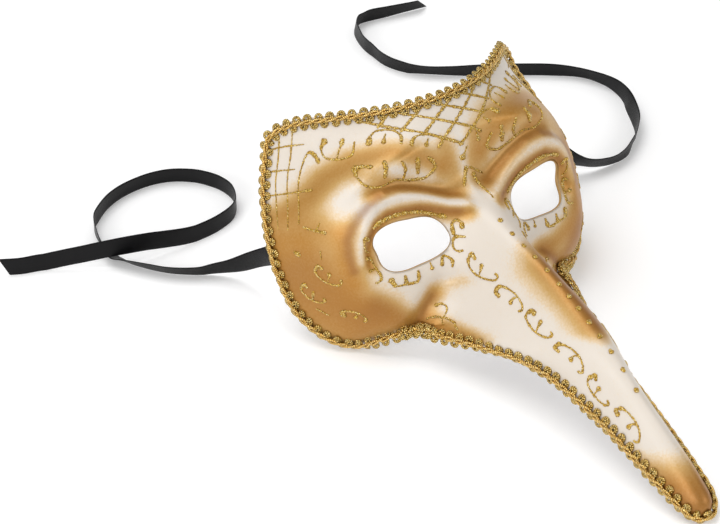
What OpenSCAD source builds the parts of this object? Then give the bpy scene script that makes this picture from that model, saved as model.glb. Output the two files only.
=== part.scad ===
// Long-nosed carnival half mask, lying on a table on its two cheeks and the tip of its nose.
// Lengths are in millimetres, +Z is up, the table is z = 0 and the nose points towards -Y.
//
// The shell is drawn in the wearer's own directions first: x across the face, v up the face and
// w forward, out of the face. The function rest() then leans it back onto the table.

/* [Mask] */
// Thickness of the moulded shell
wall = 2; // [1.2:0.1:2.6]
// How far the brow stands out above each eye
brow_h = 8; // [4:0.5:10]
// Height of the rolled lid round each eye
lid_h = 4; // [2:0.5:6]

/* [Braid] */
// Width of the gimp braid on the edge
braid_w = 8; // [6:0.5:9]
// Thickness of the gimp braid
braid_t = 2.6; // [1.6:0.1:3.4]

/* [Ribbons] */
// Width of the satin ribbons
ribbon_w = 10; // [8:0.5:12]
// Thickness of the satin ribbons
ribbon_t = 0.6; // [0.4:0.1:1]
// Side of the square patches that hold the ribbons inside the temples
patch_w = 14; // [10:1:18]

/* [Glitter] */
// Width of a bead of glitter glue
bead_w = 1.5; // [1:0.1:2]
// Height of a bead above the shell
bead_h = 0.6; // [0.4:0.1:1]

/* [Hidden] */

// Angle by which the worn mask leans back when it lies on the table, degrees.
lean = 38.2;

// Stations of the shell, from the top edge (t = 0) to the tip of the nose (t = 1).
// Each row: t, centre line [v, w], edge [x, v, w], height w of the face without its nose,
// fullness of the side, half width of the nose ridge, and how far the top corner is cut round.
STATIONS = [
    [0.000, 110.0,  49.0, 72.5,  118.0,  -1.0,  49.0, 2.0, 20, 10],
    [0.060, 100.0,  52.0, 75.5,  108.0,  -5.0,  50.0, 2.4, 20,  2],
    [0.120,  87.0,  54.0, 80.5,   95.0,  -7.0,  50.0, 3.2, 18,  0],
    [0.190,  69.0,  47.5, 86.0,   73.0,  -8.0,  46.0, 5.5, 16,  0],
    [0.250,  54.0,  56.0, 87.0,   54.5, -10.0,  43.0, 6.5, 16,  0],
    [0.320,  36.0,  71.0, 84.5,   31.5,  -9.0,  40.0, 6.0, 16,  0],
    [0.400,  20.0,  87.0, 73.0,   11.5,   0.0,  38.0, 4.5, 17,  0],
    [0.460,   7.0,  98.0, 58.5,    6.5,   8.0,  42.0, 3.0, 19,  0],
    [0.520,  -3.0, 105.5, 45.5,    8.0,  22.0,  56.0, 2.2, 21,  0],
    [0.580, -14.0, 113.0, 39.5,   -1.0,  38.5,  78.0, 2.0, 20,  0],
    [0.650, -27.0, 121.5, 28.5,  -10.0,  57.5, 103.0, 1.9, 17,  0],
    [0.730, -45.0, 130.5, 19.0,  -24.0,  79.5, 124.0, 1.8, 13,  0],
    [0.830, -70.0, 143.5, 13.2,  -58.0, 114.0, 142.5, 1.9, 10,  0],
    [0.915, -92.0, 154.0, 10.5,  -88.0, 137.5, 154.0, 2.1,  8,  0],
    [0.965, -103.0, 156.5, 8.3, -101.5, 147.5, 156.5, 2.2,  7,  0],
    [1.000, -109.0, 152.0, 5.0, -107.5, 150.0, 152.0, 2.2,  6,  0]
];
last = len(STATIONS) - 1;

// Raised or sunk strokes on the face: points [x, v, fade], half width, height. A stroke is at its
// full height where fade is 0, and has all but gone where fade is twice its half width.
CREASES = [
    [[[7, 63, 3], [14, 66, 0], [22, 69, 0], [30, 73, 0], [38, 76.5, 1], [47, 79, 4], [56, 80, 9]], 6, -2.5],
    [[[9, 56, 3], [15, 58.5, 0], [21, 63, 0], [28, 67.5, 0], [38, 71.5, 0], [46, 72.5, 0],
      [53, 70.5, 0], [57.5, 66, 0], [60.5, 60, 0], [62.5, 53, 0], [63.5, 45, 2], [62, 35, 6]], 4.5, lid_h],
    [[[17, 20, 5], [22, 22, 1], [27, 23, 0], [32, 21, 0], [37, 17.5, 0], [42, 12, 0], [47, 6, 0]], 5, -3.2]
];
// Raised or sunk ovals on the face: centre [x, v], half sizes, turn in degrees, height.
BUMPS = [
    [[44, 87], [26, 8.5], -10, brow_h],
    [[40, 62], [22, 9], 0, 3],
    [[58, 48], [9, 12], 0, -5],
    [[66, 22], [14, 14], 0, 3]
];

// The eye hole in loft coordinates: centre [t, u], half sizes, and its outline as radii at
// every 45 degrees, starting from the outer corner and going up.
EYE_C = [0.2725, 0.43];
EYE_H = [0.047, 0.215];
EYE_R = [0.93, 1.17, 0.89, 0.91, 0.95, 1.10, 0.97, 1.08];

// Rows and columns of the shell grid: above, across and below the eye block.
ROWS = [12, 7, 32];
COLS = [5, 8, 10];
NROW = ROWS[0] + ROWS[1] + ROWS[2];
NCOL = COLS[0] + COLS[1] + COLS[2];
// Where the cheek edge meets the nose edge, and how far the face's relief fades out round it.
notch_t = 0.5;
fade_t = 0.06;
// How far the braid's middle line lies inside the edge of the shell.
braid_in = 1.5;
// How deep the glitter's beads are sunk into the shell.
bead_sunk = 0.5;

// ---- the surface of the shell ---------------------------------------------------------------

function slope_in(i) = (STATIONS[i + 1] - STATIONS[i]) / (STATIONS[i + 1][0] - STATIONS[i][0]);
function slope_at(i) =
    let (a = STATIONS[i][0] - STATIONS[i - 1][0], b = STATIONS[i + 1][0] - STATIONS[i][0])
    (slope_in(i - 1) * b + slope_in(i) * a) / (a + b);
SLOPES = [for (i = [0:last])
    i == 0 ? 1.5 * slope_in(0) - 0.5 * slope_at(1) :
    i == last ? 1.5 * slope_in(last - 1) - 0.5 * slope_at(last - 1) : slope_at(i)];

function span(t, i = 0) = i >= last - 1 || t < STATIONS[i + 1][0] ? i : span(t, i + 1);
function station(t) =
    let (i = span(t), h = STATIONS[i + 1][0] - STATIONS[i][0], s = (t - STATIONS[i][0]) / h)
    STATIONS[i] * (2 * pow(s, 3) - 3 * s * s + 1) + SLOPES[i] * (h * (pow(s, 3) - 2 * s * s + s)) +
    STATIONS[i + 1] * (3 * s * s - 2 * pow(s, 3)) + SLOPES[i + 1] * (h * (pow(s, 3) - s * s));

function to_segment(p, a, b) =
    let (d = b - a, k = max(0, min(1, ((p - a) * d) / (d * d)))) norm(p - a - k * d);
function to_line(p, line) = min([for (i = [0:len(line) - 2]) to_segment(p, line[i], line[i + 1])]);
function crease(p, c) = c[2] * exp(-pow(to_line([p[0], p[1], 0], c[0]) / c[1], 2));
function bump(p, b) =
    let (d = p - b[0], q = [d[0] * cos(b[2]) + d[1] * sin(b[2]), d[1] * cos(b[2]) - d[0] * sin(b[2])])
    b[3] * exp(-pow(q[0] / b[1][0], 2) - pow(q[1] / b[1][1], 2));
function total(list, i = 0) = i >= len(list) ? 0 : list[i] + total(list, i + 1);
function relief(p) =
    total([for (c = CREASES) crease(p, c)]) + total([for (b = BUMPS) bump(p, b)]);

// Point of the outer surface at loft coordinates t and s, where s runs from -1 to 1 across.
function face_point(t, s) =
    let (k = station(t), u = abs(s), x = k[3] * u,
         v = k[1] + (k[4] + k[9] - k[1]) * u * u - k[9] * pow(u, 12),
         dome = k[5] + (k[6] - k[5]) * (1 - pow(u, k[7])),
         ridge = (k[2] - k[6]) * exp(-pow(x / k[8], 2)) * (1 - pow(u, 4)),
         on = max(0, min(1, (notch_t + fade_t - t) / (2 * fade_t))),
         face = on == 0 ? 0 : relief([x, v]) * (1 - pow(u, 8)) * on * on * (3 - 2 * on))
    [s < 0 ? -x : x, v, dome + ridge + face];
// The wearer's x, v, w leant back; laid() then sets the leaning mask down on the table.
function rest(p) = [p[0], p[1] * sin(lean) - p[2] * cos(lean), p[1] * cos(lean) + p[2] * sin(lean)];
function skin(t, s) = rest(face_point(t, s));
function unit(v) = v / norm(v);
// Unit normal of the outer surface, and the directions along t and along s.
step = 0.004;
function along_t(t, s) =
    let (a = max(0, t - step), b = min(1, t + step)) (skin(b, s) - skin(a, s)) / (b - a);
function along_s(t, s) =
    let (a = max(-1, s - step), b = min(1, s + step)) (skin(t, b) - skin(t, a)) / (b - a);
function normal(t, s) = unit(cross(along_s(t, s), along_t(t, s)) * -1);

// ---- the shell grid with its two eye holes --------------------------------------------------

// Splits 0 to 1 into three runs of equal steps that meet at a and b; bend crowds the last one.
function part_of(i, n, a, b, bend = 1) =
    i <= n[0] ? a * i / n[0] :
    i <= n[0] + n[1] ? a + (b - a) * (i - n[0]) / n[1] :
    b + (1 - b) * (1 - pow(1 - (i - n[0] - n[1]) / n[2], bend));
function eye_radius(angle) =
    let (k = floor(angle / 45), f = angle / 45 - k,
         p = [for (j = [-1:2]) EYE_R[(k + j + 8) % 8]])
    p[1] + 0.5 * f * (p[2] - p[0] + f * (2 * p[0] - 5 * p[1] + 4 * p[2] - p[3] +
    f * (3 * (p[1] - p[2]) + p[3] - p[0])));
// Moves a grid corner so that the edge of the eye block follows the outline of the hole.
function fit_eye(t, u) =
    let (q = [(u - EYE_C[1]) / EYE_H[1], (EYE_C[0] - t) / EYE_H[0]],
         square = max(abs(q[0]), abs(q[1])))
    square < 0.01 ? [t, u] :
    let (angle = (atan2(q[1], q[0]) + 360) % 360, fade = pow(max(0, 1 - max(0, square - 1) / 1.6), 2),
         grow = 1 + (eye_radius(angle) / (norm(q) / square) - 1) * fade)
    [EYE_C[0] - q[1] * grow * EYE_H[0], EYE_C[1] + q[0] * grow * EYE_H[1]];
function grid_ts(i, j) =
    let (u = part_of(abs(j), COLS, EYE_C[1] - EYE_H[1], EYE_C[1] + EYE_H[1], 1.4),
         t = part_of(i, ROWS, EYE_C[0] - EYE_H[0], EYE_C[0] + EYE_H[0]), f = fit_eye(t, u))
    j == 0 || abs(j) == NCOL || i == 0 ? [t, j < 0 ? -u : u] : [f[0], j < 0 ? -f[1] : f[1]];
function in_eye(i, j) =
    let (c = j < 0 ? -j - 1 : j)
    i >= ROWS[0] && i < ROWS[0] + ROWS[1] && c >= COLS[0] && c < COLS[0] + COLS[1];

module mask_shell() {
    wide = 2 * NCOL + 1;
    ts = [for (i = [0:NROW]) for (j = [-NCOL:NCOL]) grid_ts(i, j)];
    outer = [for (q = ts) skin(q[0], q[1])];
    inner = [for (k = [0:len(ts) - 1]) outer[k] - wall * normal(ts[k][0], ts[k][1])];
    m = len(ts);
    cells = [for (i = [0:NROW - 1]) for (j = [-NCOL:NCOL - 1]) if (!in_eye(i, j)) [i, j]];
    function at(i, j) = i * wide + j + NCOL;
    function quad(a, b, c, d, turn = false) =
        turn ? [[a, b, d], [b, c, d]] : [[a, b, c], [a, c, d]];
    function closed(i, j) = i >= 0 && i < NROW && j >= -NCOL && j < NCOL && !in_eye(i, j);
    faces = [for (c = cells) let (i = c[0], j = c[1],
                 a = at(i, j), b = at(i, j + 1), d = at(i + 1, j), e = at(i + 1, j + 1))
             each concat(
                 quad(a, b, e, d, j < 0), quad(m + a, m + d, m + e, m + b, j < 0),
                 closed(i - 1, j) ? [] : quad(a, m + a, m + b, b),
                 closed(i + 1, j) ? [] : quad(d, e, m + e, m + d),
                 closed(i, j - 1) ? [] : quad(a, d, m + d, m + a),
                 closed(i, j + 1) ? [] : quad(b, m + b, m + e, e))];
    color("ivory") laid() polyhedron(points = concat(outer, inner), faces = faces, convexity = 12);
}

// ---- swept solids ---------------------------------------------------------------------------

// One closed tube from rings of equal length, as [points, faces], with point numbers from base.
function tube_faces(rings, sides, base = 0) = concat(
    [[for (k = [sides - 1:-1:0]) base + k]],
    [[for (k = [0:sides - 1]) base + (rings - 1) * sides + k]],
    [for (r = [0:rings - 2]) for (k = [0:sides - 1]) for (half = [0, 1])
        let (a = base + r * sides + k, b = base + r * sides + (k + 1) % sides)
        half == 0 ? [a, b, b + sides] : [a, b + sides, a + sides]]);
module tubes(list) {
    // list holds one item per tube, and each item is a list of rings
    sides = len(list[0][0]);
    counts = [for (tube = list) len(tube) * sides];
    function base(i) = i == 0 ? 0 : counts[i - 1] + base(i - 1);
    polyhedron(points = [for (tube = list) for (ring = tube) each ring],
               faces = [for (i = [0:len(list) - 1]) each tube_faces(len(list[i]), sides, base(i))],
               convexity = 10);
}

// ---- gimp braid on the edge -----------------------------------------------------------------

// A ring of the braid at p, with its width along across and its thickness along up.
function braid_ring(p, across, up) =
    [for (a = [315:-45:0])
        p + across * (braid_w / 2 * cos(a)) + up * (braid_t / 2 * (sin(a) + 0.9))];
// Places on the edge as [t, s, direction of travel in t, in s].
function face_edge() = concat(
    [for (i = [0:33]) [notch_t * (1 - i / 34), -1, -1, 0]],
    [for (i = [0:28]) [0, i / 14 - 1, 0, 1]],
    [for (i = [1:34]) [notch_t * i / 34, 1, 1, 0]]);
function nose_edge() = concat(
    [for (i = [0:24]) [notch_t + (1 - notch_t) * i / 25, -1, 1, 0]],
    [for (i = [0:4]) [1, i / 2 - 1, 0, 1]],
    [for (i = [24:-1:0]) [notch_t + (1 - notch_t) * i / 25, 1, -1, 0]]);
function edge_rings(places, inward) =
    let (p = [for (q = places) skin(q[0], q[1])], n = [for (q = places) normal(q[0], q[1])],
         m = len(p) - 1)
    [for (k = [0:m])
        let (d = unit(p[min(m, k + 1)] - p[max(0, k - 1)]), side = unit(cross(n[k], d)))
        braid_ring(p[k] + side * inward * braid_in, side, unit(cross(d, side)))];
face_rings = edge_rings(face_edge(), -1);
nose_rings = edge_rings(nose_edge(), 1);
// The lowest point of the braid lies on the table, and the mask is centred over the origin.
braid_y = [for (ring = concat(face_rings, nose_rings)) for (p = ring) p[1]];
braid_z = [for (ring = concat(face_rings, nose_rings)) for (p = ring) p[2]];
module laid() {
    translate([0, -(min(braid_y) + max(braid_y)) / 2, -min(braid_z)])
        children();
}
module face_braid() {
    color("goldenrod") laid() tubes([face_rings]);
}
module nose_braid() {
    color("darkgoldenrod") laid() tubes([nose_rings]);
}

// ---- ribbons --------------------------------------------------------------------------------

// Route of each ribbon's middle line: x, y, z and the lean of its upright width, degrees.
LEFT_ROUTE = [
    [-79, 83, 39, 0], [-80, 91, 41, 0], [-81, 100, 39, 0], [-82, 109, 33, 2], [-81, 119, 25, 6],
    [-83, 128, 18, 9], [-88, 138, 10, 14], [-96, 146, 6, 22], [-106, 152, 4, 30], [-115, 159, 4, 33],
    [-122, 167, 4, 34], [-129, 177, 4, 42], [-132, 184, 3, 60], [-133, 191, 3, 45], [-133, 200, 4, 15],
    [-131, 209, 5, 2], [-128, 216, 5, 0], [-123, 221, 5, 0], [-115, 227, 5, -3], [-106, 231, 5, -6],
    [-96, 233, 5, -9], [-85, 233, 5, -10], [-74, 230, 5, -10], [-64, 223, 5, -8], [-58, 215, 5, -4],
    [-55, 208, 5, -2], [-54, 200, 5, 0], [-56, 192, 5, 0], [-60, 186, 5, 0], [-66, 182, 5, -2],
    [-76, 179, 5, -4], [-86, 178, 5, -5], [-95, 178, 6, -6], [-106, 179, 8, -8], [-116, 180, 10, -9],
    [-127, 182, 11, -10], [-138, 185, 11, -8], [-148, 190, 9, -6], [-157, 195, 7, -5],
    [-167, 200, 5, -6], [-177, 203, 5, -5], [-185, 207, 5, -4]
];
RIGHT_ROUTE = [
    [79, 83, 39, 0], [80, 91, 41, 0], [81, 100, 41, 0], [86, 109, 36, 0], [95, 114, 27, -8],
    [104, 116, 17, -18], [112, 115, 11, -26], [120, 112, 8, -32], [128, 111, 6, -30],
    [135, 111, 5, -26], [142, 112, 5, -16], [149, 115, 5, -6], [157, 121, 5, -12], [162, 125, 5, -8],
    [167, 131, 5, -14], [171, 138, 5, -20], [176, 149, 5, -22], [179, 157, 5, -10], [180, 166, 5, 2],
    [178, 177, 5, 18], [172, 189, 4, 24], [160, 200, 5, 15], [144, 211, 5, 15], [131, 219, 5, 17],
    [119, 226, 5, 20], [110, 232, 4, 26], [102, 238, 4, 30], [96, 243, 4, 28], [91, 248, 5, 20],
    [87, 256, 5, 16], [85, 264, 5, 11], [85, 273, 5, 6], [85, 282, 5, 3], [87, 291, 5, -4],
    [90, 299, 5, -8], [94, 304, 5, -12], [99, 306, 5, -18], [105, 306, 5, -14], [115, 304, 5, -18],
    [126, 302, 5, -24], [138, 300, 5, -28]
];
// Smooth curve through the points of a route.
function curve_point(r, k, f) =
    let (n = len(r) - 1, a = r[max(0, k - 1)], b = r[k], c = r[min(n, k + 1)], d = r[min(n, k + 2)])
    b + 0.5 * f * (c - a + f * (2 * a - 5 * b + 4 * c - d + f * (3 * (b - c) + d - a)));
function curve(r, n) =
    [for (k = [0:len(r) - 2]) for (i = [0:n - 1]) curve_point(r, k, i / n), r[len(r) - 1]];
function ribbon_rings(route) =
    let (c = curve(route, 2), m = len(c) - 1, p = [for (q = c) [q[0], q[1], q[2]]])
    [for (k = [0:m])
        let (d = unit(p[min(m, k + 1)] - p[max(0, k - 1)]), side = unit(cross([0, 0, 1], d)),
             up = cross(d, side), a = c[k][3], w = (up * cos(a) + side * sin(a)) * ribbon_w / 2,
             h = (side * cos(a) - up * sin(a)) * ribbon_t / 2,
             lift = [0, 0, max(0, abs(w[2]) + abs(h[2]) + 0.1 - p[k][2])])
        [for (e = [[1, 1], [-1, 1], [-1, -1], [1, -1]]) p[k] + lift + w * e[0] + h * e[1]]];
module ribbon_left() {
    color("black") tubes([ribbon_rings(LEFT_ROUTE)]);
}
module ribbon_right() {
    color("black") tubes([ribbon_rings(RIGHT_ROUTE)]);
}

// ---- patches that hold the ribbons inside the temples ---------------------------------------

module ribbon_patch(side) {
    at = [0.272, 0.945 * side];
    n = normal(at[0], at[1]);
    dt = along_t(at[0], at[1]);
    p = skin(at[0], at[1]) - n * (wall + 0.9);
    down = unit(dt);
    across = cross(n, down);
    laid()
        multmatrix([[across[0], down[0], n[0], p[0]], [across[1], down[1], n[1], p[1]],
                    [across[2], down[2], n[2], p[2]], [0, 0, 0, 1]])
            cube([patch_w, patch_w, 0.8], center = true);
}
module ribbon_patch_left() {
    color("whitesmoke") ribbon_patch(-1);
}
module ribbon_patch_right() {
    color("whitesmoke") ribbon_patch(1);
}

// ---- glitter drawing ------------------------------------------------------------------------

// A bead of glue along places [t, s] on the shell, as rings of four points.
function bead(places, thick = 1) =
    let (p = [for (q = places) skin(q[0], q[1])], n = [for (q = places) normal(q[0], q[1])],
         m = len(p) - 1)
    [for (k = [0:m])
        let (d = unit(p[min(m, k + 1)] - p[max(0, k - 1)]), side = cross(n[k], d),
             w = side * bead_w * thick / 2)
        [p[k] + n[k] * bead_h, p[k] + w, p[k] - n[k] * bead_sunk, p[k] - w]];
// Place at distances a along s and b against t, in millimetres, from the place c.
function shifted(c, a, b) =
    let (ds = along_s(c[0], c[1]), dt = along_t(c[0], c[1]), e = ds * ds, f = ds * dt, g = dt * dt,
         x = unit(ds) * a - unit(cross(cross(ds, dt), ds)) * b,
         px = x * ds, py = x * dt, q = e * g - f * f)
    [c[0] + (e * py - f * px) / q, c[1] + (g * px - f * py) / q];
function straight(a, b, n = 2) = bead([for (i = [0:n]) a + (b - a) * i / n]);
function curved(places) = bead(curve(places, 2));
// The two letters of the nose, as a line and its tick: millimetres outward and up the nose.
LETTERS = [
    [[[1, 4.5], [2.5, 7.5], [6, 5.5], [5.5, 1.5], [1.8, -3.5], [-4, -6.8], [-8, -6], [-7.5, -4]],
     [[1.8, -3.5], [-0.5, -0.8], [-2.5, 2]]],
    [[[5.8, 2.5], [8, 5], [5.5, 6.8], [0, 4.5], [-5, 0.5], [-7.2, -4], [-6, -7.5], [-3, -7.3]],
     [[-5.2, 0.5], [-2, 0.3], [0.8, -2.3]]]
];
// A letter stands as [t, s, number, size] and becomes lists of places.
function letter(c) = [for (line = LETTERS[c[2]])
    [for (p = line) shifted([c[0], c[1]], p[0] * c[3], p[1] * c[3])]];
function flipped(places, side) = [for (q = places) [q[0], q[1] * side]];
module drawing(letters, strokes, side) {
    lines = concat([for (c = letters) each letter(c)], strokes);
    color("gold") laid() tubes([for (places = lines) curved(flipped(places, side))]);
}

// Strokes of one side of the face, as lists of places [t, s].
BROW_STROKES = [
    [[0.046, 0.717], [0.061, 0.75], [0.082, 0.747], [0.092, 0.71], [0.094, 0.67], [0.089, 0.625],
     [0.063, 0.592]],
    [[0.093, 0.70], [0.072, 0.67], [0.052, 0.638]],
    [[0.080, 0.535], [0.062, 0.51], [0.052, 0.475], [0.052, 0.44], [0.054, 0.407], [0.063, 0.37],
     [0.077, 0.355], [0.094, 0.38]],
    [[0.062, 0.425], [0.084, 0.465]],
    [[0.104, 0.33], [0.094, 0.31], [0.087, 0.275], [0.087, 0.233], [0.092, 0.19], [0.101, 0.145],
     [0.112, 0.12], [0.124, 0.16]],
    [[0.098, 0.205], [0.114, 0.24]],
    [[0.113, 0.637], [0.128, 0.66], [0.139, 0.658], [0.151, 0.634], [0.159, 0.58], [0.160, 0.52],
     [0.156, 0.45], [0.162, 0.38], [0.168, 0.29], [0.168, 0.24], [0.157, 0.185], [0.143, 0.205],
     [0.134, 0.235]],
    [[0.117, 0.63], [0.124, 0.575]], [[0.117, 0.515], [0.149, 0.52]],
    [[0.127, 0.42], [0.144, 0.387], [0.159, 0.395]], [[0.128, 0.305], [0.159, 0.298]]
];
CHEEK_LETTERS = [[0.278, 0.875, 0, 0.85], [0.297, 0.94, 0, 0.8], [0.357, 0.865, 1, 0.65]];
CHEEK_STROKES = [
    [[0.19, 0.90], [0.20, 0.87], [0.21, 0.83]], [[0.203, 0.865], [0.19, 0.84]],
    [[0.225, 0.945], [0.235, 0.93]], [[0.235, 0.87], [0.25, 0.875]], [[0.32, 0.95], [0.34, 0.93]],
    [[0.416, 0.50], [0.42, 0.467], [0.43, 0.49], [0.445, 0.53], [0.44, 0.56]],
    [[0.441, 0.555], [0.464, 0.565], [0.478, 0.60], [0.488, 0.62]]
];
EYE_STROKES = [
    [[0.245, 0.66], [0.238, 0.69], [0.249, 0.70], [0.260, 0.69], [0.264, 0.665]],
    [[0.275, 0.70], [0.271, 0.68], [0.276, 0.665], [0.291, 0.66], [0.307, 0.655], [0.314, 0.673],
     [0.315, 0.705]],
    [[0.293, 0.665], [0.292, 0.71]],
    [[0.317, 0.62], [0.327, 0.62], [0.337, 0.61], [0.342, 0.554], [0.347, 0.495], [0.34, 0.47],
     [0.325, 0.455]],
    [[0.342, 0.554], [0.323, 0.54]], [[0.320, 0.37], [0.338, 0.373]],
    [[0.339, 0.317], [0.320, 0.295], [0.322, 0.275], [0.333, 0.262], [0.342, 0.266], [0.35, 0.277]],
    [[0.283, 0.163], [0.272, 0.155], [0.264, 0.168], [0.266, 0.19], [0.277, 0.20], [0.289, 0.205]],
    [[0.298, 0.165], [0.292, 0.205], [0.302, 0.225], [0.312, 0.23], [0.32, 0.22], [0.322, 0.20]],
    [[0.226, 0.64], [0.219, 0.587], [0.216, 0.514], [0.218, 0.444], [0.224, 0.369], [0.233, 0.305],
     [0.242, 0.26], [0.253, 0.205]]
];
NOSE_LETTERS = [[0.374, 0.196, 0, 1], [0.459, 0.244, 1, 1], [0.547, 0.326, 0, 1], [0.652, 0.425, 1, 0.95],
                [0.743, 0.558, 0, 0.85], [0.809, 0.575, 1, 0.95]];
TEMPLE_STROKES = [
    [[0.02, 0.925], [0.10, 0.95], [0.185, 0.97]], [[0.015, 0.86], [0.10, 0.905], [0.19, 0.945]],
    [[0.093, 0.775], [0.075, 0.785], [0.066, 0.81], [0.085, 0.84], [0.13, 0.88], [0.185, 0.91]],
    [[0.04, 0.97], [0.048, 0.82]], [[0.087, 0.98], [0.094, 0.875]], [[0.132, 0.985], [0.138, 0.835]]
];
// The arrow between the brows, and the drops that hang from the lattice.
FOREHEAD_STROKES = [
    [[0.175, 0.02], [0.21, -0.04]], [[0.178, 0.035], [0.20, 0.12]], [[0.19, 0.05], [0.25, 0.06]],
    [[0.14, 0.04], [0.162, -0.01]], [[0.12, 0.12], [0.14, 0.13]]
];
LATTICE_LINES = 5;
DOTS = 13;

module glitter_lattice() {
    // each line runs from the top edge down to the side of the shield, one way and then the other
    lines = [for (way = [-1, 1]) for (k = [0:LATTICE_LINES - 1])
        straight([0.014, way * (0.56 - 0.23 * k)], [0.134 - 0.022 * k, way * (-0.015 - 0.11 * k)], 5)];
    color("gold") laid() tubes(concat(lines, [for (places = FOREHEAD_STROKES) curved(places)]));
}
module glitter_temple_left() { drawing([], TEMPLE_STROKES, -1); }
module glitter_temple_right() { drawing([], TEMPLE_STROKES, 1); }
module glitter_brow_left() { drawing([], BROW_STROKES, -1); }
module glitter_brow_right() { drawing([], BROW_STROKES, 1); }
module glitter_eye_left() { drawing([], EYE_STROKES, -1); }
module glitter_eye_right() { drawing([], EYE_STROKES, 1); }
module glitter_cheek_left() { drawing(CHEEK_LETTERS, CHEEK_STROKES, -1); }
module glitter_cheek_right() { drawing(CHEEK_LETTERS, CHEEK_STROKES, 1); }
module glitter_nose_left() { drawing(NOSE_LETTERS, [], -1); }
module glitter_nose_right() { drawing(NOSE_LETTERS, [], 1); }
module glitter_ridge_dots() {
    color("gold") laid() tubes([for (k = [0:DOTS - 1])
        let (t = 0.29 + 0.03 * k + 0.0006 * k * k)
        bead([for (i = [-1:1]) shifted([t, 0], 0, 1.2 * i)], 1.3)]);
}

mask_shell();
face_braid();
nose_braid();
ribbon_left();
ribbon_right();
ribbon_patch_left();
ribbon_patch_right();
glitter_lattice();
glitter_temple_left();
glitter_temple_right();
glitter_brow_left();
glitter_brow_right();
glitter_eye_left();
glitter_eye_right();
glitter_cheek_left();
glitter_cheek_right();
glitter_nose_left();
glitter_nose_right();
glitter_ridge_dots();
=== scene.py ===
import math

import bpy
import numpy as np
from mathutils import Matrix, Vector
from mathutils.bvhtree import BVHTree


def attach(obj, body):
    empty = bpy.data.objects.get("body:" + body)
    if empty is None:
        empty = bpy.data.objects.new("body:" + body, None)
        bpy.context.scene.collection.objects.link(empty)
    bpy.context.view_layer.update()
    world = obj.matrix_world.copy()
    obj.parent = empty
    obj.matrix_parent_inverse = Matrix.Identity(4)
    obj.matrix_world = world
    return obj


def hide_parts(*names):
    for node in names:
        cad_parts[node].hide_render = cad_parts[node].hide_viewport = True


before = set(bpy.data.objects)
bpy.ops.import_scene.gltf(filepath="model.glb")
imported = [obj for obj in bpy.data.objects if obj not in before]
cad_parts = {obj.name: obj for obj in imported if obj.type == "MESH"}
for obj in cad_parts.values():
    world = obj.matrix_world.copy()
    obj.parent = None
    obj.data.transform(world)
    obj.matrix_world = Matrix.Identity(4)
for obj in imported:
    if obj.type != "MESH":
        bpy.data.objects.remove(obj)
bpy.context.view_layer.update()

# Long-nosed carnival half mask, lying on a table. Shapes are worked out in millimetres, in the
# row frame, and turned into metres when a mesh is made.
MM = 0.001
rng = np.random.default_rng(7)

# ---- camera ---------------------------------------------------------------------------------

CAM_TARGET = Vector((-0.0613, 0.0632, 0.0496))
CAM_AZIMUTH = math.radians(-33.2)
CAM_ELEVATION = math.radians(38.04)
CAM_DISTANCE = 1.15
FRAME_W = 720
FOCAL_PX = 2379.7
SENSOR_W = 36.0

back = Vector((math.sin(CAM_AZIMUTH) * math.cos(CAM_ELEVATION),
               -math.cos(CAM_AZIMUTH) * math.cos(CAM_ELEVATION), math.sin(CAM_ELEVATION)))
right = Vector((math.cos(CAM_AZIMUTH), math.sin(CAM_AZIMUTH), 0))
up = back.cross(right)
cam_data = bpy.data.cameras.new("camera")
cam_data.sensor_width = SENSOR_W
cam_data.lens = FOCAL_PX / FRAME_W * SENSOR_W
camera = bpy.data.objects.new("camera", cam_data)
bpy.context.scene.collection.objects.link(camera)
spot = CAM_TARGET + back * CAM_DISTANCE
camera.matrix_world = Matrix(((right.x, up.x, back.x, spot.x), (right.y, up.y, back.y, spot.y),
                              (right.z, up.z, back.z, spot.z), (0, 0, 0, 1)))
bpy.context.scene.camera = camera


# ---- small helpers --------------------------------------------------------------------------

def unit(v):
    return v / np.maximum(np.linalg.norm(v, axis=-1, keepdims=True), 1e-12)


def smooth(a, b, x):
    k = np.clip((x - a) / (b - a), 0, 1)
    return k * k * (3 - 2 * k)


def run_length(p):
    """Length along a line of points, from its first point."""
    return np.concatenate([[0], np.cumsum(np.linalg.norm(np.diff(p, axis=0), axis=1))])


def direction(p):
    """Unit direction along a line of points."""
    return unit(np.gradient(p, axis=0))


def interpolate(at, known, values):
    """Rows of values, known at some lengths, at other lengths."""
    return np.stack([np.interp(at, known, values[:, k]) for k in range(3)], 1)


def curve_points(route, n):
    """Smooth curve through the points of a route, with n steps between two points."""
    r = np.array(route, float)
    last = len(r) - 1
    out = []
    for k in range(last):
        a, b, c, d = r[max(0, k - 1)], r[k], r[k + 1], r[min(last, k + 2)]
        for i in range(n):
            f = i / n
            out.append(b + 0.5 * f * (c - a + f * (2 * a - 5 * b + 4 * c - d
                                                  + f * (3 * (b - c) + d - a))))
    out.append(r[last])
    return np.array(out)


def new_mesh(name, verts, faces, material, slot, replaced):
    """A mesh in place of a CAD node, from points in millimetres, riding on the one body."""
    mesh = bpy.data.meshes.new(name)
    mesh.from_pydata((np.asarray(verts) * MM).tolist(), [], [list(map(int, f)) for f in faces])
    mesh.polygons.foreach_set("use_smooth", [True] * len(mesh.polygons))
    mesh.update()
    piece = bpy.data.objects.new(name, mesh)
    bpy.context.scene.collection.objects.link(piece)
    mesh.materials.append(material)
    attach(piece, "root")
    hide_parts(replaced)
    return piece


def point_values(piece, name, values):
    """A number for each point, which a material reads by its name."""
    layer = piece.data.attributes.new(name, "FLOAT", "POINT")
    layer.data.foreach_set("value", np.asarray(values, dtype=np.float32))


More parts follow.
